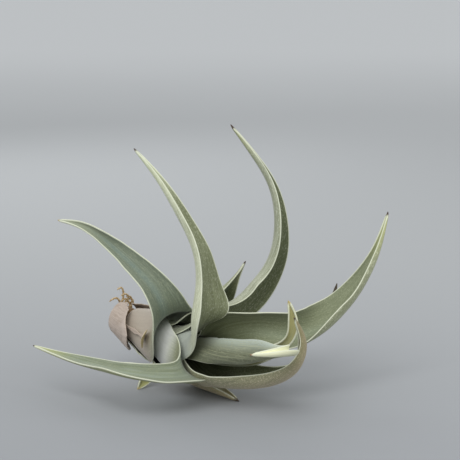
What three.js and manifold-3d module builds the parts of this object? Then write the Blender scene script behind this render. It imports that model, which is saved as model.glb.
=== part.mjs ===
// An air plant: a silvery rosette of thick, channelled leaves, as picked, lying on a surface.
// Each leaf begins as a sheath that wraps the short stem inside the sheath of the leaf below it,
// comes out of the nest at its mouth, and curves away as a blade that narrows to a fine tip.
// Millimetres, +Z up. The plant stands on z = 0 on the tips of its three lowest leaves.

import * as THREE from "three";
import { mergeVertices } from "three/addons/utils/BufferGeometryUtils.js";
import Module from "manifold-3d";

const wasm = await Module();
wasm.setup();

const X = 0;
const Y = 1;
const Z = 2;

// ---- The stem: a straight tapering core that all leaves grow from ----

const STEM_FOOT = [-34.5, 26, 22];
const STEM_DIRECTION = unit([0.733, -0.661, -0.15]);
const STEM_TOP_SIDE = unit(squareTo(STEM_DIRECTION, [0, 0.208, 0.978]));
const STEM_FRONT_SIDE = cross(STEM_DIRECTION, STEM_TOP_SIDE);
const STEM_LENGTH = 38.6;
const CORE_RADIUS = 5.7;
const CORE_TAPER = 0.11;
const STEM_SIDES = 16;

// ---- The leaves ----

const FIRST_ROW = 2;
const ROW_STEP = 2.3;
const SHEATH_FLARE = 0.3;
const SHEATH_OFFSET = 0.65;
const SHEATH_THICKNESS = 0.6;
const BLADE_THICKNESS = 1.1;
const TIP_THINNING = 0.25;
const TIP_HALF_WIDTH = 0.4;
const TIGHTEST_BEND = 0.62;
const LEAVES_GAP = 0.3;
const TURN_START = 0.6;
const THICKENING_SPAN = 0.2;
const LEAST_TURN = 20;
const MOST_TURN = 150;
const NEST_HOLD_END = 3;
const NEST_FREE = 10;
const LEAF_STEPS = 23;
const LEAF_STRIPS = 8;
const DRY_STEPS = 14;
const CURVE_SAMPLES = 600;
const SHEATH_STATIONS = [0, 0.25, 0.5, 0.75, 1];

// ---- The roots ----

// Each root: degrees round the stem, reach from it, drift along it, and degrees it curls by its end.
const ROOTS = [
  [-4, 10, -0.6, 22],
  [-62, 7.2, 0.4, 55],
  [-48, 6.4, -1.6, -40],
  [-35, 7.6, 0.5, 48],
  [-24, 6.2, -1, -55],
  [-12, 7, 0.4, -42],
  [4, 6.6, -1.4, 40],
  [16, 5.8, 0.3, -50],
  [-70, 6, -1.8, 35],
];
const ROOT_RADIUS = 0.5;
const ROOT_TIP_RADIUS = 0.3;
const ROOT_STEPS = 9;
const ROOT_SIDES = 5;

const leafSkin = new THREE.MeshStandardMaterial({ color: 0x848f7b, roughness: 0.68, metalness: 0 });
const dryPaper = new THREE.MeshStandardMaterial({ color: 0xa99a8e, roughness: 0.9, metalness: 0 });
const stemBark = new THREE.MeshStandardMaterial({ color: 0x8f7350, roughness: 0.92, metalness: 0 });

// ---- Vectors as plain [x, y, z] lists ----

function dot(a, b) {
  return a[X] * b[X] + a[Y] * b[Y] + a[Z] * b[Z];
}

function cross(a, b) {
  return [a[Y] * b[Z] - a[Z] * b[Y], a[Z] * b[X] - a[X] * b[Z], a[X] * b[Y] - a[Y] * b[X]];
}

function mix(...terms) {
  const sum = [0, 0, 0];
  for (const [factor, v] of terms) {
    for (const k of [X, Y, Z]) sum[k] += factor * v[k];
  }
  return sum;
}

function unit(v) {
  const length = Math.max(Math.hypot(...v), 1e-9);
  return [v[X] / length, v[Y] / length, v[Z] / length];
}

function squareTo(axis, v) {
  return mix([1, v], [-dot(v, axis), axis]);
}

function clamp(low, high, v) {
  return Math.min(high, Math.max(low, v));
}

function smooth(from, to, v) {
  const t = clamp(0, 1, (v - from) / (to - from));
  return t * t * (3 - 2 * t);
}

// Straight-line reading of the values ys at the places xs.
function readOff(x, xs, ys) {
  let k = 1;
  while (k < xs.length - 1 && xs[k] < x) k += 1;
  const t = clamp(0, 1, (x - xs[k - 1]) / (xs[k] - xs[k - 1]));
  return ys[k - 1] + t * (ys[k] - ys[k - 1]);
}

// ---- Places on the stem ----

function coreRadius(along) {
  return CORE_RADIUS - CORE_TAPER * along;
}

// A point at a distance along the stem, at an angle round it (0 on top, 90 in front) and a radius.
function onStem(along, degrees, radius) {
  const a = THREE.MathUtils.degToRad(degrees);
  return mix(
    [1, STEM_FOOT],
    [along, STEM_DIRECTION],
    [radius * Math.cos(a), STEM_TOP_SIDE],
    [radius * Math.sin(a), STEM_FRONT_SIDE],
  );
}

function alongStem(point) {
  return dot(mix([1, point], [-1, STEM_FOOT]), STEM_DIRECTION);
}

function outFromStem(point) {
  return mix([1, point], [-1, STEM_FOOT], [-alongStem(point), STEM_DIRECTION]);
}

function rowStart(row) {
  return FIRST_ROW + ROW_STEP * row;
}

// Each row's sheath lies on its own cone, just outside the cone of the row above it.
function coneRadius(row, along) {
  return coreRadius(rowStart(row)) + SHEATH_OFFSET + SHEATH_FLARE * (along - rowStart(row));
}

// ---- A leaf's centre line ----
// A station is [x, y, z, facing x, y, z, half width over the curve, degrees each half bends].

// A station that faces the stem, bent round it.
function roundStem(along, degrees, radius, halfWidth) {
  const centre = onStem(along, degrees, radius);
  const facing = unit(mix([-1, outFromStem(centre)]));
  return [...centre, ...facing, halfWidth, THREE.MathUtils.radToDeg(halfWidth / radius)];
}

function sheathStations({ row, sheath, angles, wrap }) {
  return SHEATH_STATIONS.map((f) => {
    const along = rowStart(row) + f * sheath;
    const degrees = readOff(f, [0, 1], angles);
    return roundStem(along, degrees, coneRadius(row, along), readOff(f, [0, 0.5, 1], wrap));
  });
}

// Second derivatives of the natural cubic spline through one column of values.
function splineBends(knots, values) {
  const last = knots.length - 1;
  const upper = new Array(last + 1).fill(0);
  const bends = new Array(last + 1).fill(0);
  for (let i = 1; i < last; i += 1) {
    const before = knots[i] - knots[i - 1];
    const after = knots[i + 1] - knots[i];
    const slopes = (values[i + 1] - values[i]) / after - (values[i] - values[i - 1]) / before;
    const pivot = 2 * (before + after) - before * upper[i - 1];
    upper[i] = after / pivot;
    bends[i] = (6 * slopes - before * bends[i - 1]) / pivot;
  }
  for (let i = last - 1; i > 0; i -= 1) bends[i] -= upper[i] * bends[i + 1];
  return bends;
}

// The curve through all the stations, read at any place between the first knot and the last.
function curveThrough(stations) {
  const knots = [0];
  for (let i = 1; i < stations.length; i += 1) {
    const step = mix([1, stations[i]], [-1, stations[i - 1]]);
    knots.push(knots[i - 1] + Math.hypot(...step));
  }
  const columns = stations[0].map((_, c) => stations.map((row) => row[c]));
  const bends = columns.map((values) => splineBends(knots, values));
  const read = (at) => {
    let k = 0;
    while (k < knots.length - 2 && knots[k + 1] <= at) k += 1;
    const h = knots[k + 1] - knots[k];
    const p = at - knots[k];
    const q = knots[k + 1] - at;
    return columns.map((v, c) => {
      const m = bends[c];
      const cubic = (m[k] * q ** 3 + m[k + 1] * p ** 3) / (6 * h);
      return cubic + (v[k] / h - (m[k] * h) / 6) * q + (v[k + 1] / h - (m[k + 1] * h) / 6) * p;
    });
  };
  return { knots, read };
}

// Sections at equal steps along the leaf: centre, inward normal, sideways direction, half width,
// bend of the channel and thickness.
function sectionsOf(leaf, steps) {
  const { knots, read } = curveThrough([...sheathStations(leaf), ...leaf.blade]);
  const places = [];
  const lengths = [0];
  for (let i = 0; i < CURVE_SAMPLES; i += 1) {
    places.push((knots.at(-1) * i) / (CURVE_SAMPLES - 1));
  }
  for (let i = 1; i < CURVE_SAMPLES; i += 1) {
    const step = mix([1, read(places[i])], [-1, read(places[i - 1])]);
    lengths.push(lengths[i - 1] + Math.hypot(...step));
  }
  const total = lengths.at(-1);
  const mouth = readOff(knots[SHEATH_STATIONS.length - 1], places, lengths);
  const clear = readOff(knots[SHEATH_STATIONS.length], places, lengths);
  const rows = [];
  for (let i = 0; i <= steps; i += 1) rows.push(read(readOff((total * i) / steps, lengths, places)));
  return rows.map((row, i) => {
    const centre = row.slice(0, 3);
    const s = (total * i) / steps;
    const ahead = rows[Math.min(i + 1, steps)];
    const behind = rows[Math.max(i - 1, 0)];
    const tangent = unit(mix([1, ahead], [-1, behind]));
    const k = smooth(TURN_START * mouth, clear, s);
    const along = unit(mix([1 - k, STEM_DIRECTION], [k, tangent]));
    const inward = mix([-1, outFromStem(centre)]);
    const facing = mix([1 - k, unit(inward)], [k, unit(row.slice(3, 6))]);
    const normal = unit(squareTo(along, unit(facing)));
    const halfWidth = Math.max(row[6], TIP_HALF_WIDTH);
    const turn = THREE.MathUtils.degToRad(clamp(LEAST_TURN, MOST_TURN, row[7]));
    const blade = clamp(0, 1, (s - mouth) / (total - mouth));
    const grown = smooth(mouth, mouth + THICKENING_SPAN * (total - mouth), s);
    const full = SHEATH_THICKNESS + (leaf.thickness - SHEATH_THICKNESS) * grown;
    const thickness = full * (1 - TIP_THINNING * blade);
    const bend = (1 - k) / Math.max(Math.hypot(...inward), 1) + (k * turn) / halfWidth;
    return {
      centre,
      normal,
      sideways: cross(along, normal),
      halfWidth,
      bend: Math.min(bend, 1 / (TIGHTEST_BEND * thickness)),
      thickness,
    };
  });
}

// ---- A leaf's solid ----

// While a point is still in the nest it isn't let inside its own row's cone.
function keptOffCone(point, leaf) {
  const along = alongStem(point);
  const start = rowStart(leaf.row);
  if (along < start - 0.5) return point;
  const out = outFromStem(point);
  const radius = Math.hypot(...out);
  const mouth = start + leaf.sheath;
  const hold = 1 - smooth(mouth + NEST_HOLD_END, mouth + NEST_FREE, along);
  const push = Math.max(coneRadius(leaf.row, along) - radius, 0) * hold;
  return mix([1, point], [push / Math.max(radius, 1e-6), out]);
}

// The two faces' points across one section, the back face first. A pair that would dip below
// the surface is lifted onto it.
function facePoints(section, leaf, extra) {
  const back = [];
  const front = [];
  for (let j = 0; j <= LEAF_STRIPS; j += 1) {
    const across = -1 + (2 * j) / LEAF_STRIPS;
    const phi = across * (section.halfWidth + extra) * section.bend;
    const radius = 1 / section.bend;
    const middle = keptOffCone(
      mix(
        [1, section.centre],
        [radius * (1 - Math.cos(phi)), section.normal],
        [radius * Math.sin(phi), section.sideways],
      ),
      leaf,
    );
    const normal = mix([Math.cos(phi), section.normal], [-Math.sin(phi), section.sideways]);
    const edge = across ** 4;
    const margin = Math.min(section.thickness, SHEATH_THICKNESS);
    const half = (section.thickness * (1 - edge) + margin * edge) / 2 + extra;
    const outer = mix([1, middle], [-half, normal]);
    const inner = mix([1, middle], [half, normal]);
    const lift = Math.max(0, -Math.min(outer[Z], inner[Z]));
    outer[Z] += lift;
    inner[Z] += lift;
    back.push(outer);
    front.push(inner);
  }
  return [back, front];
}

function solidFrom(points, triangles) {
  const mesh = new wasm.Mesh({
    numProp: 3,
    vertProperties: new Float32Array(points.flat()),
    triVerts: new Uint32Array(triangles.flat()),
  });
  return new wasm.Manifold(mesh);
}

// The closed solid between a leaf's two faces, with extra skin all over it where it is asked for.
function leafSolid(leaf, extra = 0) {
  const faces = sectionsOf(leaf, leaf.steps).map((section) => facePoints(section, leaf, extra));
  const points = faces.flatMap(([back]) => back).concat(faces.flatMap(([, front]) => front));
  const wide = LEAF_STRIPS + 1;
  const b = (i, j) => i * wide + j;
  const f = (i, j) => faces.length * wide + b(i, j);
  const triangles = [];
  const quad = (p, q, r, s) => triangles.push([p, q, r], [p, r, s]);
  for (let i = 0; i < leaf.steps; i += 1) {
    for (let j = 0; j < LEAF_STRIPS; j += 1) {
      quad(b(i, j), b(i + 1, j), b(i + 1, j + 1), b(i, j + 1));
      triangles.push([f(i, j), f(i + 1, j + 1), f(i + 1, j)], [f(i, j), f(i, j + 1), f(i + 1, j + 1)]);
    }
    quad(b(i, 0), f(i, 0), f(i + 1, 0), b(i + 1, 0));
    quad(b(i, LEAF_STRIPS), b(i + 1, LEAF_STRIPS), f(i + 1, LEAF_STRIPS), f(i, LEAF_STRIPS));
  }
  for (let j = 0; j < LEAF_STRIPS; j += 1) {
    quad(b(0, j), b(0, j + 1), f(0, j + 1), f(0, j));
    quad(b(leaf.steps, j), f(leaf.steps, j), f(leaf.steps, j + 1), b(leaf.steps, j + 1));
  }
  return solidFrom(points, triangles);
}

function largestBody(solid) {
  return solid.decompose().reduce((a, b) => (b.volume() > a.volume() ? b : a));
}

// ---- Each leaf's own measures, from the outermost row in ----

const leaf = (row, sheath, angles, wrap, blade) => ({
  row,
  sheath,
  angles,
  wrap,
  blade,
  thickness: BLADE_THICKNESS,
  steps: LEAF_STEPS,
});

const LEAVES = {
  leaf_under_left: leaf(2, 12, [190, 169], [6, 4.5, 2.5], [
    [-19.8, 13.7, 10.1, 0.4, 0.5, 0, 1.5, 25.6],
    [-21.5, 12.1, 6.5, 0.9, 0.4, 0.6, 2.7, 39.7],
    [-26.5, 7, -0.2, 0.7, -0.1, 0.7, 0.4, 90],
  ]),
  leaf_upper_left: leaf(3, 15, [56, 44], [12, 16, 17.2], [
    [-15.8, -3.5, 31.9, 0.6, -0.7, -0.2, 8.5, 44.5],
    [-16, -4, 33.2, 0.7, -0.9, -0.1, 7.9, 44],
    [-23.7, 1.7, 43.5, 0.2, -0.7, 0.2, 5, 59.5],
    [-31.3, 10.7, 48.3, 0.3, -0.8, 0.1, 3.9, 66.6],
    [-40.9, 19.7, 54, -0.3, -0.5, 0.2, 2.7, 92],
    [-56, 30, 56.5, 0.1, -0.7, 0.8, 0.4, 90],
  ]),
  leaf_under_right: leaf(4, 16, [185, 180], [8, 8, 7], [
    [-8, 9, 2, 0.1, 0.3, 0.9, 6, 60],
    [0.5, 2, 1, 0.1, 0.3, 0.9, 4.5, 70],
    [9.5, -6, 0.2, 0.1, 0.1, 1, 0.4, 100],
  ]),
  leaf_under_back: leaf(5, 14, [232, 241], [8, 7.7, 6.9], [
    [-3.1, 27, 11.7, -0.2, -0.3, 0.1, 5.4, 61],
    [4.3, 35.4, 7.5, -0.8, 0, 1.2, 5.2, 84],
    [11, 42, 0, -0.3, -0.2, 1, 0.4, 100],
  ]),
  leaf_lower_left: leaf(6, 15, [108, 120], [12, 13.3, 12.2], [
    [-13.1, -4.3, 12.9, 0.7, 0.4, 0.2, 10.7, 38],
    [-8.4, -13, 12, 0.7, 0, 0.8, 7.1, 57],
    [-17.1, -19.5, 13.2, 0.4, -0.4, 1, 5.1, 50],
    [-28.2, -22.2, 15.3, 0.1, -0.4, 1, 4.3, 75],
    [-37.5, -12, 14, 0, -0.2, 1, 4, 60],
    [-50.5, -2, 14.5, 0.1, -0.3, 1, 2.3, 65],
    [-63, 8, 16, 0.2, -0.2, 1, 0.4, 90],
  ]),
  leaf_short_top: leaf(7, 12, [311, 334], [9, 11.3, 7.7], [
    [-5.6, 10.8, 28.8, 0.1, -0.5, -0.5, 8, 69],
    [1.6, 18.2, 31.7, 0.7, -0.6, -0.4, 8, 68],
    [6.6, 20, 35.7, 0.8, -0.6, -0.1, 3.4, 75],
    [12, 27, 42, 0.9, -0.4, -0.2, 0.4, 90],
  ]),
  leaf_back: leaf(8, 13, [262, 268], [6, 6.5, 6], [
    [11, 23, 17.5, -0.1, -0.9, 0.4, 6, 60],
    [32, 30, 16.5, -0.2, -0.8, 0.5, 3.2, 65],
    [42.5, 31.5, 23.5, -0.5, -0.7, 0.5, 1.4, 90],
    [45.5, 32, 32.5, -0.8, -0.5, 0.3, 0.4, 120],
  ]),
  leaf_tall_right: leaf(9, 8, [344, 339], [9, 10, 9.1], [
    [-1.1, 5.8, 26.3, 0.2, -0.4, -0.1, 7.8, 66],
    [6, 8.2, 29.8, 0.5, -0.7, -0.5, 8.6, 71],
    [14.5, 14, 36.5, 0.7, -0.5, -0.4, 9.8, 65],
    [20.5, 15.5, 46, 0.9, -0.4, -0.2, 8, 68],
    [22.5, 17, 57.5, 0.9, -0.3, 0.1, 5.8, 75],
    [20.5, 21, 70, 0.9, -0.2, 0.4, 3.7, 90],
    [14, 26, 81, 0.8, -0.1, 0.6, 2.2, 110],
    [6.5, 32, 91, 0.7, -0.2, 0.7, 0.4, 120],
  ]),
  leaf_tall_left: leaf(10, 14, [47, 53], [10, 11.8, 7.8], [
    [-5.9, -10.3, 25.9, 0.4, 0.2, -0.7, 7.5, 45],
    [-4.5, -12.4, 34.1, 0.6, -0.4, -0.6, 12, 72],
    [-4, -12, 41.5, 0.9, -0.4, 0, 10.2, 60],
    [-5, -11, 53, 0.9, -0.3, 0.2, 6.8, 63],
    [-10.5, -6, 64.5, 0.9, -0.3, 0.3, 4.7, 75],
    [-17.5, 0, 75.5, 0.8, -0.3, 0.5, 2.6, 105],
    [-26.5, 8, 86, 0.7, -0.3, 0.7, 0.4, 120],
  ]),
  leaf_front_sweep: leaf(11, 15, [165, 177], [9, 10.5, 9.7], [
    [5.6, -9.7, 7, 0.1, 0, 1, 11.5, 58],
    [15.1, -15.2, 8.5, 0, 0, 1, 9.3, 82],
    [22.9, -21, 12.1, -0.3, 0.2, 0.9, 7.1, 92],
    [29.9, -25.8, 20.6, -0.7, 0.2, 0.2, 4.2, 94],
    [31, -25, 26, -1, -0.1, 0, 3.4, 100],
    [27, -25, 35.5, -0.9, -0.2, -0.4, 0.4, 120],
  ]),
  leaf_right: leaf(12, 11, [286, 319.7], [9, 7, 6.4], [
    [3.5, -1.5, 22.5, 0.1, -1.3, -0.2, 8.7, 27],
    [14.3, -3.6, 25.8, 0.4, -0.8, -0.1, 9.1, 65],
    [26.4, -0.4, 23, -0.2, -1.1, 0.6, 9.4, 88],
    [35.7, 2.6, 23.3, -0.1, -0.4, 0.6, 9.6, 99.4],
    [49.4, 9.2, 32.9, -0.5, -0.2, 0.2, 7.6, 68.9],
    [57.7, 15.5, 45.6, -0.9, -0.3, 0.5, 3.7, 102.1],
    [62.5, 23, 61, -0.8, -0.5, 0.3, 0.4, 120],
  ]),
  leaf_hooked: leaf(13, 9, [72, 51], [6, 4.8, 5.4], [
    [2, -21.3, 23.2, 0.3, 0.9, -0.3, 5.5, 73],
    [15.8, -28.8, 24, -0.1, 0.7, 0.1, 5.5, 98],
    [23.1, -33.7, 25.7, 0.5, 0.8, 0.6, 3, 103],
    [25.5, -38, 27, 0.5, 0.2, 0.9, 3.5, 110],
    [21, -41, 27.5, 0, -0.1, 1, 2.8, 110],
    [12.5, -42, 28, 0, -0.1, 1, 0.4, 120],
  ]),
  leaf_young: leaf(14, 12, [300, 300], [6, 6.5, 6], [
    [16, -11.8, 20.3, -0.2, -0.9, -0.5, 5, 70],
    [22.7, -16, 22.5, -0.1, -0.9, 0.1, 2.4, 80],
    [26.6, -17.4, 26.5, -0.3, -1, 0.4, 2.1, 83],
    [27.5, -17.2, 31.6, -0.3, -0.9, 0.2, 2.4, 90],
    [25.5, -17, 39, -0.2, -1, 0.2, 0.4, 120],
  ]),
  leaf_centre: leaf(15, 9, [20, 25], [3, 4, 3.5], [
    [8, -14, 19.5, 0.1, -0.2, -1, 2.5, 80],
    [15.5, -19.5, 21.5, 0.1, -0.2, -1, 0.4, 120],
  ]),
};

// The withered remains of the oldest sheaths, which end torn off beside the stem.
const dryLeaf = (row, sheath, angles, wrap, blade) => ({
  row,
  sheath,
  angles,
  wrap,
  blade,
  thickness: SHEATH_THICKNESS,
  steps: DRY_STEPS,
});

const DRY_SHEATHS = {
  dry_sheath_front: dryLeaf(0, 8, [112, 106], [10, 11, 9], [
    roundStem(13, 102, 9.6, 5.5),
    roundStem(16, 98, 10.6, 0.8),
  ]),
  dry_sheath_back: dryLeaf(1, 9, [265, 270], [9, 10, 8], [
    roundStem(16, 272, 9.6, 4.5),
    roundStem(19.5, 276, 10.8, 0.8),
  ]),
  dry_flake: dryLeaf(2, 16.5, [88, 86], [0.6, 0.6, 0.8], [
    roundStem(25, 86, 12, 2.8),
    roundStem(27, 86, 15.2, 2.9),
  ]),
};

// ---- The stem and its roots ----

function stemSolid() {
  const core = [8, 20, 34].map((along) => [coreRadius(along) - 0.1, along]);
  const profile = [[0, -1], [3, 0.5], [4.6, 2], ...core, [1, 38], [0, STEM_LENGTH]];
  const outline = profile.map(([radius, along]) => new THREE.Vector2(radius, along));
  const lathe = new THREE.LatheGeometry(outline, STEM_SIDES);
  lathe.deleteAttribute("normal");
  lathe.deleteAttribute("uv");
  const up = new THREE.Vector3(0, 1, 0);
  const turn = new THREE.Quaternion().setFromUnitVectors(up, new THREE.Vector3(...STEM_DIRECTION));
  lathe.applyQuaternion(turn);
  lathe.translate(...STEM_FOOT);
  const merged = mergeVertices(lathe, 1e-3);
  const mesh = new wasm.Mesh({
    numProp: 3,
    vertProperties: merged.getAttribute("position").array,
    triVerts: new Uint32Array(merged.index.array),
  });
  return new wasm.Manifold(mesh);
}

// A root starts inside the stem's foot, runs out to one side and curls back over the foot.
function rootPath([side, reach, drift, curl]) {
  const path = [];
  for (let i = 0; i <= ROOT_STEPS; i += 1) {
    const t = i / ROOT_STEPS;
    const along = 0.6 + drift * t * t;
    path.push(onStem(along, side + curl * t * t, 0.8 + reach * Math.sin(Math.PI * 0.62 * t)));
  }
  return path;
}

function rootSolid(path) {
  const points = [];
  const triangles = [];
  const last = path.length - 1;
  path.forEach((centre, i) => {
    const tangent = unit(mix([1, path[Math.min(i + 1, last)]], [-1, path[Math.max(i - 1, 0)]]));
    const first = unit(squareTo(tangent, STEM_DIRECTION));
    const second = cross(tangent, first);
    const radius = ROOT_RADIUS + ((ROOT_TIP_RADIUS - ROOT_RADIUS) * i) / last;
    for (let k = 0; k < ROOT_SIDES; k += 1) {
      const a = (2 * Math.PI * k) / ROOT_SIDES;
      points.push(mix([1, centre], [radius * Math.cos(a), first], [radius * Math.sin(a), second]));
    }
  });
  for (let k = 0; k < ROOT_SIDES; k += 1) {
    const next = (k + 1) % ROOT_SIDES;
    for (let i = 0; i < last; i += 1) {
      const here = i * ROOT_SIDES;
      const there = here + ROOT_SIDES;
      triangles.push([here + k, here + next, there + next], [here + k, there + next, there + k]);
    }
    if (k > 1) {
      const end = last * ROOT_SIDES;
      triangles.push([0, k, k - 1], [end, end + k - 1, end + k]);
    }
  }
  return solidFrom(points, triangles);
}

function stemWithRoots() {
  let solid = stemSolid();
  for (const measures of ROOTS) solid = solid.add(rootSolid(rootPath(measures)));
  return largestBody(solid);
}

// ---- Putting the plant together ----

// Where blades would cross, the leaf of the outer row gives way to the inner ones, with a gap.
function nestedSolids(leaves) {
  const solids = Object.entries(leaves).map(([name, measures]) => ({
    name,
    row: measures.row,
    solid: leafSolid(measures),
    grown: leafSolid(measures, LEAVES_GAP),
  }));
  for (const outer of solids) {
    for (const inner of solids) {
      const crosses = inner.row > outer.row && outer.solid.intersect(inner.solid).volume() > 0;
      if (crosses) outer.solid = largestBody(outer.solid.subtract(inner.grown));
    }
  }
  return solids;
}

function meshOf(name, solid, material) {
  const { vertProperties, triVerts } = solid.getMesh();
  const geometry = new THREE.BufferGeometry();
  geometry.setAttribute("position", new THREE.BufferAttribute(vertProperties, 3));
  geometry.setIndex(new THREE.BufferAttribute(triVerts, 1));
  geometry.computeVertexNormals();
  const mesh = new THREE.Mesh(geometry, material);
  mesh.name = name;
  return mesh;
}

const plant = new THREE.Group();
plant.add(meshOf("stem_and_roots", stemWithRoots(), stemBark));
for (const { name, solid } of nestedSolids({ ...DRY_SHEATHS, ...LEAVES })) {
  plant.add(meshOf(name, solid, name in DRY_SHEATHS ? dryPaper : leafSkin));
}

export default plant;
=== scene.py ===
"""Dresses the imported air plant.

Every leaf is grown again on its own curve with a finer skin: a rounded pale margin, fine lengthwise
lines, silvery scales and a dried point. The withered sheaths turn to torn paper, the stem gets its
leaf scars and the roots their hairs. Lengths here are millimetres, and metres once they are meshes.
"""

import math
import random

import bpy
import numpy as np
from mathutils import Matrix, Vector


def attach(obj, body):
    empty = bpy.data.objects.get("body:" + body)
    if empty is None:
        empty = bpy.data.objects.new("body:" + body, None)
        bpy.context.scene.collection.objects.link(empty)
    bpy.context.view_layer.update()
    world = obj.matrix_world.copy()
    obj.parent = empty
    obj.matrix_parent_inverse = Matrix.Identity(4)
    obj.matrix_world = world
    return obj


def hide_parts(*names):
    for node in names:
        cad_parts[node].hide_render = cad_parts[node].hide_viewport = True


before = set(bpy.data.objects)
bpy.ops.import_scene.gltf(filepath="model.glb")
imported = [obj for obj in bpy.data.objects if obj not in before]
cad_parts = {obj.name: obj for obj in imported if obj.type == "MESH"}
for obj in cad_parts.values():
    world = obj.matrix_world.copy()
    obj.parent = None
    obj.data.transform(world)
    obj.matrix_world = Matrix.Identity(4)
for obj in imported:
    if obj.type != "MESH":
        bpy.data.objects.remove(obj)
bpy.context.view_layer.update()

MM = 0.001

# ---- The camera ----

CAMERA_PLACE = (6.3, -455.5, 156.0)
CAMERA_TILT = 78
CAMERA_LENS = 107.33
CAMERA_SENSOR = 36


def set_camera():
    view = bpy.data.cameras.new("camera")
    view.lens = CAMERA_LENS
    view.sensor_width = CAMERA_SENSOR
    view.clip_start = 0.01
    view.clip_end = 50
    camera = bpy.data.objects.new("camera", view)
    camera.location = [MM * v for v in CAMERA_PLACE]
    camera.rotation_euler = (math.radians(CAMERA_TILT), 0, 0)
    bpy.context.scene.collection.objects.link(camera)
    bpy.context.scene.camera = camera


# ---- The stem that all leaves grow from, as in the solids ----

STEM_FOOT = np.array([-34.5, 26, 22])
STEM_LENGTH = 38.6
CORE_RADIUS = 5.7
CORE_TAPER = 0.11

FIRST_ROW = 2
ROW_STEP = 2.3
SHEATH_FLARE = 0.3
SHEATH_OFFSET = 0.65
SHEATH_THICKNESS = 0.6
MARGIN_THICKNESS = 0.4
BLADE_THICKNESS = 1.1
TIP_THINNING = 0.25
TIP_HALF_WIDTH = 0.4
TIGHTEST_BEND = 0.62
TURN_START = 0.6
THICKENING_SPAN = 0.2
LEAST_TURN = 20
MOST_TURN = 150
NEST_HOLD_END = 3
NEST_FREE = 10
NEST_BACK = 0.5
SHEATH_STATIONS = (0, 0.25, 0.5, 0.75, 1)
CURVE_SAMPLES = 600


def unit(v):
    return v / np.maximum(np.linalg.norm(v, axis=-1, keepdims=True), 1e-9)


def square_to(axis, v):
    """What is left of v across the axis."""
    return v - np.sum(v * axis, axis=-1, keepdims=True) * axis


def smooth(start, end, v):
    t = np.clip((v - start) / (end - start), 0, 1)
    return t * t * (3 - 2 * t)


STEM_DIRECTION = unit(np.array([0.733, -0.661, -0.15]))
STEM_TOP_SIDE = unit(square_to(STEM_DIRECTION, np.array([0, 0.208, 0.978])))
STEM_FRONT_SIDE = np.cross(STEM_DIRECTION, STEM_TOP_SIDE)


def core_radius(along):
    return CORE_RADIUS - CORE_TAPER * along


def row_start(row):
    return FIRST_ROW + ROW_STEP * row


def cone_radius(row, along):
    start = row_start(row)
    return core_radius(start) + SHEATH_OFFSET + SHEATH_FLARE * (along - start)


def on_stem(along, degrees, radius):
    """The point at a distance along the stem, an angle round it (0 on top, 90 in front) and a radius."""
    a = math.radians(degrees)
    out = math.cos(a) * STEM_TOP_SIDE + math.sin(a) * STEM_FRONT_SIDE
    return STEM_FOOT + along * STEM_DIRECTION + radius * out


def along_stem(points):
    return (points - STEM_FOOT) @ STEM_DIRECTION


def out_from_stem(points):
    return points - STEM_FOOT - along_stem(points)[..., None] * STEM_DIRECTION


def round_stem(along, degrees, radius, half_width):
    centre = on_stem(along, degrees, radius)
    facing = unit(-out_from_stem(centre))
    return [*centre, *facing, half_width, math.degrees(half_width / radius)]


# ---- Each leaf's measures, from the outermost row in ----
# A station is [x, y, z, facing x, y, z, half width over the curve, degrees each half bends].


def leaf(row, sheath, angles, wrap, blade, **look):
    """A leaf's place in the nest, its sheath and its blade's stations.

    The sheath has a length, an angle round the stem at its foot and at its mouth, and a half width at
    its foot, middle and mouth. The look gives what differs from LEAF_LOOK.
    """
    return dict(row=row, sheath=sheath, angles=angles, wrap=wrap, blade=blade, look=look)


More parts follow.
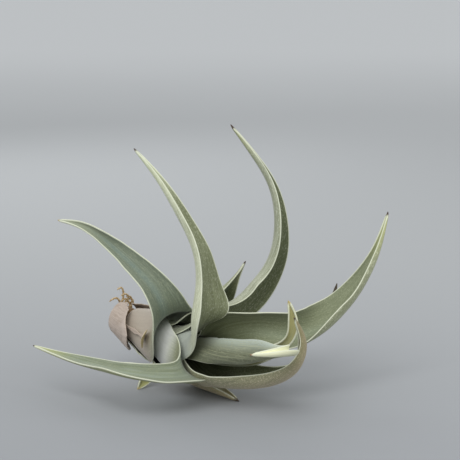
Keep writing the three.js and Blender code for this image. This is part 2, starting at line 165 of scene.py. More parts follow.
LEAVES = {
    "leaf_under_left": leaf(2, 12, (190, 169), (6, 4.5, 2.5), [
        [-19.8, 13.7, 10.1, 0.4, 0.5, 0, 1.5, 25.6],
        [-21.5, 12.1, 6.5, 0.9, 0.4, 0.6, 2.7, 39.7],
        [-26.5, 7, -0.2, 0.7, -0.1, 0.7, 0.4, 90],
    ], back="83855c", back_pale="9fa172", inside="7d8460", tip="b9b878", point="b9a878"),
    "leaf_upper_left": leaf(3, 15, (56, 44), (12, 16, 17.2), [
        [-15.8, -3.5, 31.9, 0.6, -0.7, -0.2, 8.5, 44.5],
        [-16, -4, 33.2, 0.7, -0.9, -0.1, 7.9, 44],
        [-23.7, 1.7, 43.5, 0.2, -0.7, 0.2, 5, 59.5],
        [-31.3, 10.7, 48.3, 0.3, -0.8, 0.1, 3.9, 66.6],
        [-40.9, 19.7, 54, -0.3, -0.5, 0.2, 2.7, 92],
        [-56, 30, 56.5, 0.1, -0.7, 0.8, 0.4, 90],
    ], inside="606a57", inside_pale="7b8573", inside_deep="aab3a3", deep_reach=14, streak="71827a",
        streak_place=-0.15, back="7d8262", nest="b9aca0", nest_reach=9, tip="a4a98e", tip_length=30,
        vein_share=0.45, point="b9a678"),
    "leaf_under_right": leaf(4, 16, (185, 180), (8, 8, 7), [
        [-8, 9, 2, 0.1, 0.3, 0.9, 6, 60],
        [0.5, 2, 1, 0.1, 0.3, 0.9, 4.5, 70],
        [9.5, -6, 0.2, 0.1, 0.1, 1, 0.4, 100],
    ], back="d6c4a2", back_pale="e2d5ba", tip="a89c74", point_length=1.6),
    "leaf_under_back": leaf(5, 14, (232, 241), (8, 7.7, 6.9), [
        [-3.1, 27, 11.7, -0.2, -0.3, 0.1, 5.4, 61],
        [4.3, 35.4, 7.5, -0.8, 0, 1.2, 5.2, 84],
        [11, 42, 0, -0.3, -0.2, 1, 0.4, 100],
    ]),
    "leaf_lower_left": leaf(6, 15, (108, 120), (12, 13.3, 12.2), [
        [-13.1, -4.3, 12.9, 0.7, 0.4, 0.2, 10.7, 38],
        [-8.4, -13, 12, 0.7, 0, 0.8, 7.1, 57],
        [-17.1, -19.5, 13.2, 0.4, -0.4, 1, 5.1, 50],
        [-28.2, -22.2, 15.3, 0.1, -0.4, 1, 4.3, 75],
        [-37.5, -12, 14, 0, -0.2, 1, 4, 60],
        [-50.5, -2, 14.5, 0.1, -0.3, 1, 2.3, 65],
        [-63, 8, 16, 0.2, -0.2, 1, 0.4, 90],
    ], inside="737c64", inside_pale="8c957e", inside_deep="9fa9a2", deep_reach=24, streak="8d9887",
        back="878c62", back_pale="aeb28a", nest="eaebea", nest_reach=11, tip="b2b676"),
    "leaf_short_top": leaf(7, 12, (311, 334), (9, 11.3, 7.7), [
        [-5.6, 10.8, 28.8, 0.1, -0.5, -0.5, 8, 69],
        [1.6, 18.2, 31.7, 0.7, -0.6, -0.4, 8, 68],
        [6.6, 20, 35.7, 0.8, -0.6, -0.1, 3.4, 75],
        [12, 27, 42, 0.9, -0.4, -0.2, 0.4, 90],
    ], inside="50573a", inside_pale="686f4e", tip="8c8a6c", tip_length=14, point_length=2),
    "leaf_back": leaf(8, 13, (262, 268), (6, 6.5, 6), [
        [11, 23, 17.5, -0.1, -0.9, 0.4, 6, 60],
        [32, 30, 16.5, -0.2, -0.8, 0.5, 3.2, 65],
        [42.5, 31.5, 23.5, -0.5, -0.7, 0.5, 1.4, 90],
        [45.5, 32, 32.5, -0.8, -0.5, 0.3, 0.4, 120],
    ], point_length=5.5, point="4b4438"),
    "leaf_tall_right": leaf(9, 8, (344, 339), (9, 10, 9.1), [
        [-1.1, 5.8, 26.3, 0.2, -0.4, -0.1, 7.8, 66],
        [6, 8.2, 29.8, 0.5, -0.7, -0.5, 8.6, 71],
        [14.5, 14, 36.5, 0.7, -0.5, -0.4, 9.8, 65],
        [20.5, 15.5, 46, 0.9, -0.4, -0.2, 8, 68],
        [22.5, 17, 57.5, 0.9, -0.3, 0.1, 5.8, 75],
        [20.5, 21, 70, 0.9, -0.2, 0.4, 3.7, 90],
        [14, 26, 81, 0.8, -0.1, 0.6, 2.2, 110],
        [6.5, 32, 91, 0.7, -0.2, 0.7, 0.4, 120],
    ], inside="4d5438", inside_pale="646b4b", streak="5c6445", back="949981", back_pale="c2c6b2",
        tip="969a6e", point_length=2.4),
    "leaf_tall_left": leaf(10, 14, (47, 53), (10, 11.8, 7.8), [
        [-5.9, -10.3, 25.9, 0.4, 0.2, -0.7, 7.5, 45],
        [-4.5, -12.4, 34.1, 0.6, -0.4, -0.6, 12, 72],
        [-4, -12, 41.5, 0.9, -0.4, 0, 10.2, 60],
        [-5, -11, 53, 0.9, -0.3, 0.2, 6.8, 63],
        [-10.5, -6, 64.5, 0.9, -0.3, 0.3, 4.7, 75],
        [-17.5, 0, 75.5, 0.8, -0.3, 0.5, 2.6, 105],
        [-26.5, 8, 86, 0.7, -0.3, 0.7, 0.4, 120],
    ], inside="6a7051", inside_pale="838969", streak="737a5e", inside_deep="4c5137", back="bfc4a6",
        back_pale="dde1ca", far_side="9ba185", nest="aab1ac", nest_reach=12,
        tip="ced4b4", tip_length=30, point_length=1.6),
    "leaf_front_sweep": leaf(11, 15, (165, 177), (9, 10.5, 9.7), [
        [5.6, -9.7, 7, 0.1, 0, 1, 11.5, 58],
        [15.1, -15.2, 8.5, 0, 0, 1, 9.3, 82],
        [22.9, -21, 12.1, -0.3, 0.2, 0.9, 7.1, 92],
        [29.9, -25.8, 20.6, -0.7, 0.2, 0.2, 4.2, 94],
        [31, -25, 26, -1, -0.1, 0, 3.4, 100],
        [27, -25, 35.5, -0.9, -0.2, -0.4, 0.4, 120],
    ], inside="4c5439", inside_pale="60684a", back="beaf90", back_pale="d8ccb1", tip="6f6640",
        tip_length=30),
    "leaf_right": leaf(12, 11, (286, 319.7), (9, 7, 6.4), [
        [3.5, -1.5, 22.5, 0.1, -1.3, -0.2, 8.7, 27],
        [14.3, -3.6, 25.8, 0.4, -0.8, -0.1, 9.1, 65],
        [26.4, -0.4, 23, -0.2, -1.1, 0.6, 9.4, 88],
        [35.7, 2.6, 23.3, -0.1, -0.4, 0.6, 9.6, 99.4],
        [49.4, 9.2, 32.9, -0.5, -0.2, 0.2, 7.6, 68.9],
        [57.7, 15.5, 45.6, -0.9, -0.3, 0.5, 3.7, 102.1],
        [62.5, 23, 61, -0.8, -0.5, 0.3, 0.4, 120],
    ], inside="70775b", inside_pale="868d71", streak="8c967e", streak_place=0.15, inside_deep="535a3c",
        deep_reach=34, vein_share=0.4, back="a8ad8a", back_pale="cbcfb1", point_length=1.7),
    "leaf_hooked": leaf(13, 9, (72, 51), (6, 4.8, 5.4), [
        [2, -21.3, 23.2, 0.3, 0.9, -0.3, 5.5, 73],
        [15.8, -28.8, 24, -0.1, 0.7, 0.1, 5.5, 98],
        [23.1, -33.7, 25.7, 0.5, 0.8, 0.6, 3, 103],
        [25.5, -38, 27, 0.5, 0.2, 0.9, 3.5, 110],
        [21, -41, 27.5, 0, -0.1, 1, 2.8, 110],
        [12.5, -42, 28, 0, -0.1, 1, 0.4, 120],
    ], back="686d55", back_pale="90947c", far_side="b0bcb3", inside="b3b694", inside_deep="6f765c",
        deep_reach=6, nest="666d4b", nest_reach=12, tip="eeefcc", tip_length=27, tip_share=0.9,
        point="8a6a4c", point_length=0.9),
    "leaf_young": leaf(14, 12, (300, 300), (6, 6.5, 6), [
        [16, -11.8, 20.3, -0.2, -0.9, -0.5, 5, 70],
        [22.7, -16, 22.5, -0.1, -0.9, 0.1, 2.4, 80],
        [26.6, -17.4, 26.5, -0.3, -1, 0.4, 2.1, 83],
        [27.5, -17.2, 31.6, -0.3, -0.9, 0.2, 2.4, 90],
        [25.5, -17, 39, -0.2, -1, 0.2, 0.4, 120],
    ], inside="7d7e5a", inside_pale="97976f", inside_deep="5c6240", back="a39f74", back_pale="bab58a",
        tip="b9b276", point="b3a368"),
    "leaf_centre": leaf(15, 9, (20, 25), (3, 4, 3.5), [
        [8, -14, 19.5, 0.1, -0.2, -1, 2.5, 80],
        [15.5, -19.5, 21.5, 0.1, -0.2, -1, 0.4, 120],
    ]),
}

DRY_SHEATHS = {
    "dry_sheath_front": leaf(0, 8, (112, 106), (10, 11, 9), [
        round_stem(13, 102, 9.6, 5.5),
        round_stem(16, 98, 10.6, 0.8),
    ]),
    "dry_sheath_back": leaf(1, 9, (265, 270), (9, 10, 8), [
        round_stem(16, 272, 9.6, 4.5),
        round_stem(19.5, 276, 10.8, 0.8),
    ]),
    "dry_flake": leaf(2, 16.5, (88, 86), (0.6, 0.6, 0.8), [
        round_stem(25, 86, 12, 2.8),
        round_stem(27, 86, 15.2, 2.9),
    ]),
}

# ---- The loft of a leaf ----

LEAF_STEPS = 130
DRY_STEPS = 60
POINT_STEPS = (0.3, 0.55, 0.75, 0.9, 0.975, 1)
POINT_ROUND = 1.8
FACE_STEPS = 20
MARGIN_STEPS = np.array([0, 0.06, 0.25, 0.6])
# The ripple sets in at this share of the way to the sheath's mouth, and is full this far past it.
RIPPLE_START = 0.8
RIPPLE_SPAN = 12
PAPER_FOLDS = 5


def spline_through(knots, rows, places):
    """The natural cubic spline through the rows at the knots, read at the places."""
    last = len(knots) - 1
    step = np.diff(knots)
    system = np.eye(last + 1)
    pull = np.zeros_like(rows)
    for i in range(1, last):
        system[i, i - 1 : i + 2] = step[i - 1], 2 * (step[i - 1] + step[i]), step[i]
        slope_after = (rows[i + 1] - rows[i]) / step[i]
        slope_before = (rows[i] - rows[i - 1]) / step[i - 1]
        pull[i] = 6 * (slope_after - slope_before)
    bends = np.linalg.solve(system, pull)
    k = np.clip(np.searchsorted(knots, places, side="right") - 1, 0, last - 1)
    p = (places - knots[k])[:, None]
    q = (knots[k + 1] - places)[:, None]
    h = step[k][:, None]
    cubic = (bends[k] * q**3 + bends[k + 1] * p**3) / (6 * h)
    start = (rows[k] / h - bends[k] * h / 6) * q
    end = (rows[k + 1] / h - bends[k + 1] * h / 6) * p
    return cubic + start + end


def sheath_stations(shape):
    rows = []
    for f in SHEATH_STATIONS:
        along = row_start(shape["row"]) + f * shape["sheath"]
        degrees = np.interp(f, (0, 1), shape["angles"])
        half_width = np.interp(f, (0, 0.5, 1), shape["wrap"])
        rows.append(round_stem(along, degrees, cone_radius(shape["row"], along), half_width))
    return rows


def sections_of(shape, steps, thickness):
    """The leaf's cross sections: their centres, directions, widths, bends and thicknesses."""
    rows = np.array(sheath_stations(shape) + list(shape["blade"]), float)
    spans = np.linalg.norm(np.diff(rows[:, :3], axis=0), axis=1)
    knots = np.concatenate([[0], np.cumsum(spans)])
    samples = np.linspace(0, knots[-1], CURVE_SAMPLES)
    curve = spline_through(knots, rows, samples)[:, :3]
    lengths = np.concatenate([[0], np.cumsum(np.linalg.norm(np.diff(curve, axis=0), axis=1))])
    total = lengths[-1]
    mouth = np.interp(knots[len(SHEATH_STATIONS) - 1], samples, lengths)
    clear = np.interp(knots[len(SHEATH_STATIONS)], samples, lengths)
    run = np.linspace(0, total - POINT_ROUND, steps)
    run = np.concatenate([run, total - POINT_ROUND * (1 - np.array(POINT_STEPS))])
    read = spline_through(knots, rows, np.interp(run, lengths, samples))
    centre = read[:, :3]
    tangent = unit(np.gradient(centre, run, axis=0))
    k = smooth(TURN_START * mouth, clear, run)[:, None]
    along = unit((1 - k) * STEM_DIRECTION + k * tangent)
    inward = -out_from_stem(centre)
    facing = (1 - k) * unit(inward) + k * unit(read[:, 3:6])
    normal = unit(square_to(along, unit(facing)))
    half_width = np.maximum(read[:, 6], TIP_HALF_WIDTH)
    turn = np.radians(np.clip(read[:, 7], LEAST_TURN, MOST_TURN))
    blade = np.clip((run - mouth) / (total - mouth), 0, 1)
    grown = smooth(mouth, mouth + THICKENING_SPAN * (total - mouth), run)
    full = SHEATH_THICKNESS + (thickness - SHEATH_THICKNESS) * grown
    thick = full * (1 - TIP_THINNING * blade)
    k = k[:, 0]
    bend = (1 - k) / np.maximum(np.linalg.norm(inward, axis=1), 1) + k * turn / half_width
    bend = np.minimum(bend, 1 / (TIGHTEST_BEND * thick))
    ending = np.sqrt(np.clip((total - run) / POINT_ROUND, 0.0004, 1))
    return dict(
        run=run,
        total=total,
        mouth=mouth,
        blade=blade,
        centre=centre,
        normal=normal,
        sideways=np.cross(along, normal),
        half_width=half_width * ending,
        bend=bend,
        thickness=thick * ending,
    )


def kept_off_cone(points, shape):
    """In the nest, no point of a leaf comes inside its own row's cone."""
    along = along_stem(points)
    start = row_start(shape["row"])
    mouth = start + shape["sheath"]
    out = out_from_stem(points)
    radius = np.linalg.norm(out, axis=-1)
    hold = 1 - smooth(mouth + NEST_HOLD_END, mouth + NEST_FREE, along)
    push = np.maximum(cone_radius(shape["row"], along) - radius, 0) * hold * (along >= start - NEST_BACK)
    return points + out * (push / np.maximum(radius, 1e-6))[..., None]


def wandering(draw, places, lengths):
    """A value that wanders gently about zero along the places, with waves of the given lengths."""
    total = np.zeros_like(places)
    for length in lengths:
        height = draw.uniform(0.5, 1)
        total += height * np.sin(2 * math.pi * (places / length + draw.random()))
    return total / len(lengths)


def places_across(half_width, margin_radius):
    """Where the section's points lie over its width, closer together round the two margins."""
    middle = np.linspace(-1, 1, FACE_STEPS + 1)
    reach = (half_width - margin_radius)[:, None]
    left = -half_width[:, None] + MARGIN_STEPS * margin_radius[:, None]
    return np.concatenate([left, reach * middle, -left[:, ::-1]], axis=1)


def closed_mesh(name, faces, across_count):
    """A closed mesh of the back face's and the front face's points, which meet along the margins."""
    count = len(faces[0])
    last = across_count - 1
    ring = 2 * last
    back, front = faces
    points = np.concatenate([back, front[:, last - 1 : 0 : -1]], axis=1).reshape(-1, 3)
    quads = []
    for i in range(count - 1):
        for j in range(ring):
            here = i * ring
            nextj = (j + 1) % ring
            quads.append((here + j, here + nextj, here + ring + nextj, here + ring + j))
    for i, turned in ((0, False), (count - 1, True)):
        here = i * ring
        for j in range(last):
            back_pair = (here + j, here + j + 1)
            front_pair = (here + (ring - j - 1) % ring, here + (ring - j) % ring)
            cap = list(dict.fromkeys(back_pair + front_pair))
            quads.append(tuple(cap if turned else cap[::-1]))
    mesh = bpy.data.meshes.new(name)
    mesh.from_pydata((points * MM).tolist(), [], quads)
    mesh.polygons.foreach_set("use_smooth", [True] * len(mesh.polygons))
    mesh.update()
    return mesh


def round_ring(back, front):
    """Values of the two faces in the order of the closed mesh's points."""
    return np.concatenate([back, front[:, -2:0:-1]], axis=1).ravel()


def write_values(mesh, values):
    for name, numbers in values.items():
        held = mesh.attributes.new(name, "FLOAT", "POINT")
        held.data.foreach_set("value", np.asarray(numbers, np.float32))


def add_piece(name, mesh, finish, node):
    piece = bpy.data.objects.new(name, mesh)
    bpy.context.scene.collection.objects.link(piece)
    mesh.materials.append(finish)
    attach(piece, "root")
    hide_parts(node)


def leaf_mesh(name, shape, steps, thickness, seed, ripple, ragged=0, wrinkle=0):
    draw = random.Random(seed)
    cut = sections_of(shape, steps, thickness)
    run = cut["run"]
    margin_radius = np.minimum(
        0.5 * np.minimum(cut["thickness"], MARGIN_THICKNESS), 0.45 * cut["half_width"]
    )
    wide = places_across(cut["half_width"], margin_radius)
    across = wide / cut["half_width"][:, None]
    sides = [1 + ragged * wandering(draw, run, (7, 3.1, 1.7)) for _ in range(2)]
    stretch = np.where(across < 0, sides[0][:, None], sides[1][:, None])
    phi = wide * (1 + (stretch - 1) * across**2) * cut["bend"][:, None]
    radius = 1 / cut["bend"][:, None, None]
    cosine = np.cos(phi)[..., None]
    sine = np.sin(phi)[..., None]
    normal = cut["normal"][:, None, :]
    sideways = cut["sideways"][:, None, :]
    middle = cut["centre"][:, None, :] + radius * (1 - cosine) * normal + radius * sine * sideways
    skin = normal * cosine - sideways * sine
    middle = kept_off_cone(middle, shape)
    left_wave = wandering(draw, run, (23, 13, 8))[:, None]
    right_wave = wandering(draw, run, (19, 12, 7))[:, None]
    free = smooth(RIPPLE_START * cut["mouth"], cut["mouth"] + RIPPLE_SPAN, run) * (1 - cut["blade"] ** 4)
    wave = np.where(across < 0, left_wave, right_wave) * across**2 * free[:, None] * ripple
    fold = np.zeros_like(across)
    for _ in range(PAPER_FOLDS if wrinkle else 0):
        slant = draw.uniform(-0.15, 0.15)
        pitch = draw.uniform(0.9, 2.6)
        fold += np.sin(2 * math.pi * ((wide + slant * run[:, None]) / pitch + draw.random()))
    middle = middle + skin * (wave + wrinkle * fold / PAPER_FOLDS)[..., None]
    edge = across**4
    margin = np.minimum(cut["thickness"], MARGIN_THICKNESS)[:, None]
    rounding = np.sqrt(1 - (1 - MARGIN_STEPS) ** 2)
    full_round = np.concatenate([rounding, np.ones(FACE_STEPS + 1), rounding[::-1]])
    half = (cut["thickness"][:, None] * (1 - edge) + margin * edge) / 2 * full_round
    back = middle - skin * half[..., None]
    front = middle + skin * half[..., None]
    lift = np.maximum(0, -np.minimum(back[..., 2], front[..., 2]))
    back[..., 2] += lift
    front[..., 2] += lift
    mesh = closed_mesh(name, (back, front), wide.shape[1])
    face = np.ones_like(across)
    face[:, [0, -1]] = 0
    length = np.broadcast_to(run[:, None], across.shape)
    spare = cut["half_width"][:, None] - np.abs(wide)
    write_values(mesh, {
        "across": round_ring(across, across),
        "wide": round_ring(wide, wide),
        "margin": round_ring(spare, spare),
        "face": round_ring(-face, face),
        "run": round_ring(length, length),
        "past_mouth": round_ring(length - cut["mouth"], length - cut["mouth"]),
        "to_tip": round_ring(cut["total"] - length, cut["total"] - length),
    })
    return mesh


# ---- Finishes ----


def paint(code):
    """A colour given as six hexadecimal digits, as the shader wants it."""
    parts = [int(code[i : i + 2], 16) / 255 for i in (0, 2, 4)]
    return (*[p / 12.92 if p <= 0.04045 else ((p + 0.055) / 1.055) ** 2.4 for p in parts], 1)


class Value:
    """A socket that changes over the surface, which plain arithmetic works on."""

    def __init__(self, finish, socket):
        self.finish = finish
        self.socket = socket

    def maths(self, operation, *values):
        sockets = dict(enumerate(values))
        return self.finish.node("Math", {"operation": operation}, sockets)

    def __add__(self, other):
        return self.maths("ADD", self, other)

    __radd__ = __add__

    def __sub__(self, other):
        return self.maths("SUBTRACT", self, other)

    def __rsub__(self, other):
        return self.maths("SUBTRACT", other, self)

    def __mul__(self, other):
        return self.maths("MULTIPLY", self, other)

    __rmul__ = __mul__

    def __abs__(self):
        return self.maths("ABSOLUTE", self)

    def rising(self, start, end):
        """0 up to start, 1 past end, and smooth between; the other way round where end is less."""
        low, high = sorted((start, end))
        settings = {"interpolation_type": "SMOOTHSTEP"}
        ends = (0.0, 1.0) if start < end else (1.0, 0.0)
        sockets = {"Value": self, "From Min": low, "From Max": high}
        sockets.update({"To Min": ends[0], "To Max": ends[1]})
        return self.finish.node("MapRange", settings, sockets)


class Finish:
    """A material in the making."""

    def __init__(self, name, constants):
        self.material = bpy.data.materials.new(name)
        self.material.use_nodes = True
        self.tree = self.material.node_tree
        self.surface = self.tree.nodes["Principled BSDF"]
        for socket, value in constants.items():
            self.surface.inputs[socket].default_value = value

    def node(self, kind, settings, sockets, output=0):
        made = self.tree.nodes.new("ShaderNode" + kind)
        for name, value in settings.items():
            setattr(made, name, value)
        for name, value in sockets.items():
            if isinstance(name, int):
                socket = made.inputs[name]
            else:
                socket = [s for s in made.inputs if s.name == name and s.enabled][0]
            self.feed(socket, value)
        return Value(self, [s for s in made.outputs if s.enabled][output])

    def feed(self, socket, value):
        if isinstance(value, Value):
            self.tree.links.new(value.socket, socket)
        else:
            socket.default_value = value

    def held(self, name):
        """A number that the mesh holds at its points."""
        settings = {"attribute_type": "GEOMETRY", "attribute_name": name}
        return self.node("Attribute", settings, {}, output=2)

    def blend(self, first, second, share):
        return self.node("Mix", {"data_type": "RGBA"}, {"Factor": share, "A": first, "B": second})

    def place(self, x, y, z):
        return self.node("CombineXYZ", {}, {"X": x, "Y": y, "Z": z})

    def clouds(self, place, scale, detail=2.0, roughness=0.5):
        sockets = {"Vector": place, "Scale": scale, "Detail": detail, "Roughness": roughness}
        return self.node("TexNoise", {}, sockets)

    def done(self, colour, roughness, height, relief):
        """Feeds the surface; relief is the height's full range in millimetres."""
        self.feed(self.surface.inputs["Base Color"], colour)
        self.feed(self.surface.inputs["Roughness"], roughness)
        sockets = {"Height": height, "Strength": 1.0, "Distance": relief * MM}
        self.feed(self.surface.inputs["Normal"], self.node("Bump", {}, sockets))
        return self.material


LEAF_LOOK = dict(
    inside="5a6144",
    inside_pale="7c8362",
    # The next tone colours the inner face's fine dark lines and the painted shading at its base. Its
    # reach is how far that painted shading runs past the sheath's mouth.
    inside_deep="343a22",
    deep_reach=20,
    streak="7a836c",
    streak_place=0.0,
    back="84896b",
    back_pale="b3b799",
    # The far flank's tone is painted light and shade: the back beyond the midline takes it for how light
    # falls there.
    far_side="84896b",
    margin="d5d9c3",
    nest="a3a497",
    nest_reach=4,
    tip="b3b67a",
    tip_length=22,
    tip_share=0.5,
    vein_share=0.65,
    point="43352a",
    point_length=1.1,
)


def leaf_finish(name, seed, look):
    tone = {k: paint(v) if isinstance(v, str) else v for k, v in {**LEAF_LOOK, **look}.items()}
    f = Finish(name, {"Sheen Weight": 0.12, "Sheen Roughness": 0.5, "Specular IOR Level": 0.3})
    across = f.held("across")
    wide = f.held("wide")
    run = f.held("run")
    margin = f.held("margin")
    to_tip = f.held("to_tip")
    past_mouth = f.held("past_mouth")
    inside = f.held("face").rising(-0.2, 0.2)

    veins = f.clouds(f.place(across * 13, run * 0.035, seed), 1.0, 3.0, 0.65)
    fine_veins = f.clouds(f.place(wide * 2.4, run * 0.07, seed + 3), 1.0, 3.0, 0.6)
    patches = f.clouds(f.place(across * 1.6, run * 0.06, seed + 7), 1.0, 2.0)
    scales = f.clouds(f.place(wide * 2.9, run * 1.3, seed + 11), 1.0, 3.0, 0.7)
    scale_spots = scales.rising(0.5, 0.66)
    lit_veins = veins.rising(0.38, 0.64)
    dark_lines = fine_veins.rising(0.5, 0.68)

    groove = abs(across - tone["streak_place"]).rising(0.42, 0.0)
    veined = lit_veins * tone["vein_share"] + patches * (1.0 - tone["vein_share"])
    inner = f.blend(tone["inside"], tone["inside_pale"], veined)
    inner = f.blend(inner, tone["streak"], groove * (0.25 + 0.6 * patches))
    inner = f.blend(inner, tone["inside_deep"], dark_lines * (0.46 * tone["vein_share"]))
    inner = f.blend(inner, tone["back_pale"], scale_spots * 0.24)
    # Painted shading: the inner face turns to this tone toward the leaf's base. Where the tone is dark
    # it is painted shade in the dark nest, and where it is pale it is painted light on a base that sits
    # in shadow.
    deep = past_mouth.rising(tone["deep_reach"], -2.0)
    inner = f.blend(inner, tone["inside_deep"], deep * (0.95 - 0.35 * lit_veins))

    outer = f.blend(tone["back"], tone["back_pale"], lit_veins * 0.3)
    # Painted light and shade: the back of the far flank, beyond the midline, blends to its own lighter
    # or darker tone.
    far_side_share = across.rising(-0.1, 1.0)
    outer = f.blend(outer, tone["far_side"], far_side_share * 0.85)
    outer = f.blend(outer, tone["back_pale"], scale_spots * 0.75)
    outer = f.blend(outer, tone["inside"], dark_lines * 0.4)
    in_sheath = past_mouth.rising(tone["nest_reach"], tone["nest_reach"] - 10.0)
    outer = f.blend(outer, tone["nest"], in_sheath * (0.95 - 0.3 * fine_veins))
    skin = f.blend(outer, inner, inside)

    ripe = to_tip.rising(tone["tip_length"], tone["tip_length"] * 0.15)
    skin = f.blend(skin, tone["tip"], ripe * (tone["tip_share"] + 0.3 * patches))
    edge_width = 0.06 + 0.16 * patches + 0.12 * scales
    rim = (margin - edge_width).rising(0.2, -0.1)
    skin = f.blend(skin, tone["margin"], rim * 0.85)
    dried = (to_tip + 1.6 * scales).rising(tone["point_length"] + 1.3, tone["point_length"] + 0.1)
    skin = f.blend(skin, tone["point"], dried)

    roughness = 0.52 + 0.2 * scales + 0.08 * inside
    height = 0.55 * veins + 0.35 * fine_veins + 0.45 * scales
    return f.done(skin, roughness, height, 0.14)


def paper_finish(name, seed, pale, dark, stain, end, end_inside):
    f = Finish(name, {"Sheen Weight": 0.15, "Specular IOR Level": 0.25})
    wide = f.held("wide")
    run = f.held("run")
    inside = f.held("face").rising(-0.2, 0.2)
    fibres = f.clouds(f.place(wide * 3.2, run * 0.12, seed), 1.0, 4.0, 0.7)
    patches = f.clouds(f.place(wide * 0.35, run * 0.22, seed + 5), 1.0, 3.0)
    flecks = f.clouds(f.place(wide * 1.6, run * 1.1, seed + 9), 1.0, 2.0).rising(0.62, 0.74)
    skin = f.blend(paint(dark), paint(pale), fibres.rising(0.3, 0.68) * 0.75 + patches * 0.25)
    skin = f.blend(skin, paint(stain), patches.rising(0.5, 0.75) * 0.5)
    skin = f.blend(skin, paint(stain), flecks * 0.35)
    at_end = f.held("to_tip").rising(5.5, 2.5)
    torn = f.blend(paint(end), paint(end_inside), inside)
    skin = f.blend(skin, torn, at_end * (0.6 + 0.4 * fibres))
    frayed = (f.held("margin") - 0.5 * fibres).rising(0.35, 0.0)
    skin = f.blend(skin, paint(pale), frayed * 0.5)
    return f.done(skin, 0.72 + 0.15 * fibres, fibres + 0.5 * patches, 0.22)


def bark_finish(name):
    f = Finish(name, {"Specular IOR Level": 0.2})
    spot = f.node("TexCoord", {}, {}, output=3)
    grain = f.clouds(spot, 900.0, 4.0, 0.65)
    patches = f.clouds(spot, 164.0, 2.0)
    skin = f.blend(paint("5d4836"), paint("a58a68"), grain.rising(0.32, 0.7))
    skin = f.blend(skin, paint("7a6a58"), patches.rising(0.45, 0.7) * 0.6)
    return f.done(skin, 0.78 + 0.15 * grain, grain, 0.25)


def root_finish():
    f = Finish("root_skin", {"Specular IOR Level": 0.25})
    spot = f.node("TexCoord", {}, {}, output=3)
    grain = f.clouds(spot, 1400.0, 3.0, 0.6)
    bands = f.clouds(spot, 260.0, 2.0)
    skin = f.blend(paint("a98b62"), paint("dcc79f"), grain.rising(0.3, 0.7))
    skin = f.blend(skin, paint("86694a"), bands.rising(0.52, 0.68) * 0.55)
    return f.done(skin, 0.7 + 0.2 * grain, grain, 0.08)


# ---- Growing the pieces ----


def grow_leaves():
    for seed, (node, shape) in enumerate(LEAVES.items(), start=1):
        mesh = leaf_mesh(node + "_skin", shape, LEAF_STEPS, BLADE_THICKNESS, seed, ripple=0.12)
        finish = leaf_finish(node + "_finish", seed * 17.3, shape["look"])
        add_piece(node + "_skin", mesh, finish, node)


def grow_dry_sheaths():
    colours = {
        "dry_sheath_front": ("c6b8ac", "a8998c", "97836f", "c6b8ac", "8a7862"),
        "dry_sheath_back": ("bdb0a2", "998a7a", "8a745c", "bdb0a2", "7d6b54"),
        "dry_flake": ("b9aa9c", "ab9d8f", "a3927f", "d3c08a", "dccb94"),
    }
    for seed, (node, shape) in enumerate(DRY_SHEATHS.items(), start=31):
        mesh = leaf_mesh(
            node + "_paper", shape, DRY_STEPS, SHEATH_THICKNESS, seed, 0.1, ragged=0.09, wrinkle=0.12
        )
        finish = paper_finish(node + "_finish", seed * 9.1, *colours[node])
        add_piece(node + "_paper", mesh, finish, node)


STEM_RINGS = 150
STEM_SIDES = 56
STEM_BOTTOM = -1
# How thick the core is on its way up: pairs of distance along the stem and radius.
STEM_PROFILE = (
    (STEM_BOTTOM, 0.05),
    (-0.6, 1.2),
    (0.5, 3),
    (2, 4.5),
    (8, 4.7),
    (20, 3.4),
    (34, 1.8),
    (38, 1),
    (STEM_LENGTH, 0.05),
)
SCAR_DEPTH = 0.22
BARK_WAVES = 9


def grow_stem():
    """The tapering core with a scar where each sheath was joined, rounded at its foot and top."""
    draw = random.Random(5)
    along = np.linspace(STEM_BOTTOM, STEM_LENGTH, STEM_RINGS)
    radius = np.interp(along, *zip(*STEM_PROFILE))
    turn = np.linspace(0, 2 * math.pi, STEM_SIDES, endpoint=False)
    scar = np.abs((along - FIRST_ROW) / ROW_STEP % 1 - 0.5) * 2
    ridges = -SCAR_DEPTH * smooth(0.75, 1, scar)
    rough = np.zeros((STEM_RINGS, STEM_SIDES))
    for _ in range(BARK_WAVES):
        waves = draw.randint(2, 13)
        pitch = draw.uniform(1.2, 6)
        shift = along[:, None] / pitch + draw.random()
        rough += np.sin(waves * turn[None, :] + 2 * math.pi * shift) * draw.uniform(0.02, 0.05)
    relief = (ridges[:, None] + rough - 0.1) * smooth(0, 2, radius)[:, None]
    size = np.maximum(radius[:, None] + relief, 0.04)
    out = np.cos(turn)[None, :, None] * STEM_TOP_SIDE + np.sin(turn)[None, :, None] * STEM_FRONT_SIDE
    points = STEM_FOOT + along[:, None, None] * STEM_DIRECTION + size[..., None] * out
    bark = tube_mesh("stem_bark", points)
    add_piece("stem_bark", bark, bark_finish("stem_bark"), "stem_and_roots")


def tube_mesh(name, *tubes):
    """Closed tubes of rings of points, joined into one mesh."""
    points = []
    quads = []
    for rings in tubes:
        count, sides = rings.shape[:2]
        first = len(points)
        points.extend((rings.reshape(-1, 3) * MM).tolist())
        for i in range(count - 1):
            for j in range(sides):
                here = first + i * sides
                nextj = (j + 1) % sides
                quads.append((here + j, here + sides + j, here + sides + nextj, here + nextj))
        quads.append(tuple(range(first, first + sides)))
        end = first + (count - 1) * sides
        quads.append(tuple(range(end + sides - 1, end - 1, -1)))
    mesh = bpy.data.meshes.new(name)
    mesh.from_pydata(points, [], quads)
    mesh.polygons.foreach_set("use_smooth", [True] * len(mesh.polygons))
    mesh.update()
    return mesh


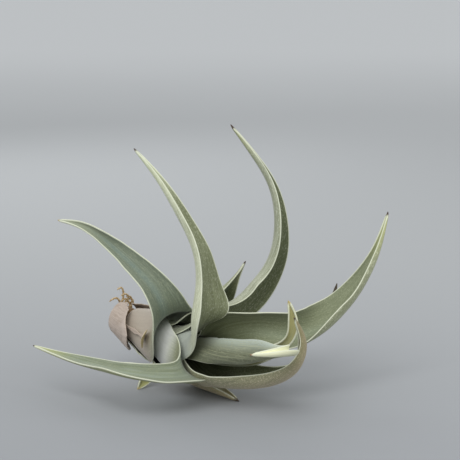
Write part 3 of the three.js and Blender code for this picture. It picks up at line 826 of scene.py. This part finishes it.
# Each root: degrees round the stem, reach from it, drift along it, and degrees it curls by its end.
ROOTS = (
    (-4, 10, -0.6, 22),
    (-62, 7.2, 0.4, 55),
    (-48, 6.4, -1.6, -40),
    (-35, 7.6, 0.5, 48),
    (-24, 6.2, -1, -55),
    (-12, 7, 0.4, -42),
    (4, 6.6, -1.4, 40),
    (16, 5.8, 0.3, -50),
    (-70, 6, -1.8, 35),
)
ROOT_RADIUS = 0.5
ROOT_TIP_RADIUS = 0.3
ROOT_STEPS = 46
ROOT_SIDES = 9
HAIRS_PER_ROOT = 16
HAIR_STEPS = 5
HAIR_SIDES = 4
HAIR_RADII = (0.05, 0.02)


def root_line(side, reach, drift, curl):
    """The same line as the solid's root: out to one side, and curling back over the foot."""
    line = []
    for t in np.linspace(0, 1, ROOT_STEPS):
        along = 0.6 + drift * t**2
        line.append(on_stem(along, side + curl * t * t, 0.8 + reach * math.sin(math.pi * 0.62 * t)))
    return np.array(line)


def tube_along(line, radius, sides):
    tangent = unit(np.gradient(line, axis=0))
    first = unit(square_to(tangent, np.broadcast_to(STEM_DIRECTION, tangent.shape)))
    second = np.cross(tangent, first)
    turn = np.linspace(0, 2 * math.pi, sides, endpoint=False)
    out = np.cos(turn)[None, :, None] * first[:, None] + np.sin(turn)[None, :, None] * second[:, None]
    return line[:, None] + radius[:, None, None] * out


def grow_roots():
    draw = random.Random(12)
    tubes = []
    for measures in ROOTS:
        line = root_line(*measures)
        t = np.linspace(0, 1, ROOT_STEPS)
        for axis in (STEM_DIRECTION, STEM_TOP_SIDE, STEM_FRONT_SIDE):
            line += 0.16 * wandering(draw, t * 10, (3.1, 1.7, 0.9))[:, None] * t[:, None] * axis
        knots = 1 + 0.12 * wandering(draw, t * 10, (0.8, 0.5))
        radius = (ROOT_RADIUS + (ROOT_TIP_RADIUS - ROOT_RADIUS) * t) * knots
        radius *= np.sqrt(np.clip((1 - t) * 14, 0.01, 1))
        tubes.append(tube_along(line, radius * 0.92, ROOT_SIDES))
        for _ in range(HAIRS_PER_ROOT):
            at = draw.randrange(8, ROOT_STEPS - 2)
            heading = unit(np.array([draw.uniform(-1, 1) for _ in range(3)]))
            length = draw.uniform(0.5, 1.3)
            steps = np.linspace(0, 1, HAIR_STEPS)[:, None]
            droop = np.array([0, 0, -0.25 * length])
            hair = line[at] + heading * length * steps + droop * steps**2
            tubes.append(tube_along(hair, np.linspace(*HAIR_RADII, HAIR_STEPS), HAIR_SIDES))
    strands = tube_mesh("root_strands", *tubes)
    add_piece("root_strands", strands, root_finish(), "stem_and_roots")


# ---- The stage ----

FLOOR_REACH = 9
# The plain floor is painted darker near the camera and paler far off: a painted fall of light across it.
FLOOR_NEAR_SHADED = "93969a"
FLOOR_MIDDLE = "9fa2a4"
FLOOR_FAR_LIT = "b9bcbe"


def set_floor():
    mesh = bpy.data.meshes.new("floor")
    corners = [(x * FLOOR_REACH, y * FLOOR_REACH, 0) for x, y in ((-1, -1), (1, -1), (1, 1), (-1, 1))]
    mesh.from_pydata(corners, [], [(0, 1, 2, 3)])
    floor = bpy.data.objects.new("floor", mesh)
    bpy.context.scene.collection.objects.link(floor)
    f = Finish("floor_paint", {"Specular IOR Level": 0.1})
    spot = f.node("TexCoord", {}, {}, output=3)
    mottle = f.clouds(spot, 3.0)
    depth = f.node("SeparateXYZ", {}, {"Vector": spot}, output=1) + 0.1 * mottle
    # Painted shade: darker toward the front, paler toward the back.
    shade = f.blend(paint(FLOOR_NEAR_SHADED), paint(FLOOR_MIDDLE), depth.rising(-0.15, 0.3))
    shade = f.blend(shade, paint(FLOOR_FAR_LIT), depth.rising(0.4, 1.6))
    mesh.materials.append(f.done(shade, 0.85 + 0.1 * mottle, mottle, 0.02))


# A broad soft key from high in front, and two large panels that fill the sides.
KEY_HEADING = (0.22, 0.6, -0.77)
KEY_STRENGTH = 1.75
KEY_SPREAD = 48
SOFTBOXES = (
    ((430, -160, 260), 320, 0.55),
    ((-160, 460, 340), 380, 0.7),
)
SKY_COLOUR = (0.98, 0.99, 1.0, 1)
SKY_STRENGTH = 0.62


def add_light(name, kind, place, heading, power):
    light = bpy.data.lights.new(name, kind)
    light.energy = power
    lamp = bpy.data.objects.new(name, light)
    lamp.location = [MM * v for v in place]
    lamp.rotation_euler = Vector(heading).to_track_quat("-Z", "Y").to_euler()
    bpy.context.scene.collection.objects.link(lamp)
    return light


def set_lights():
    key = add_light("key", "SUN", (0, 0, 800), KEY_HEADING, KEY_STRENGTH)
    key.angle = math.radians(KEY_SPREAD)
    for number, (place, size, power) in enumerate(SOFTBOXES):
        panel = add_light(f"panel_{number}", "AREA", place, -np.array(place), power)
        panel.size = size * MM
    world = bpy.data.worlds.new("studio")
    bpy.context.scene.world = world
    world.use_nodes = True
    sky = world.node_tree.nodes["Background"]
    sky.inputs["Color"].default_value = SKY_COLOUR
    sky.inputs["Strength"].default_value = SKY_STRENGTH


set_camera()
set_floor()
set_lights()
grow_leaves()
grow_dry_sheaths()
grow_stem()
grow_roots()

bpy.context.scene.view_settings.view_transform = "Standard"
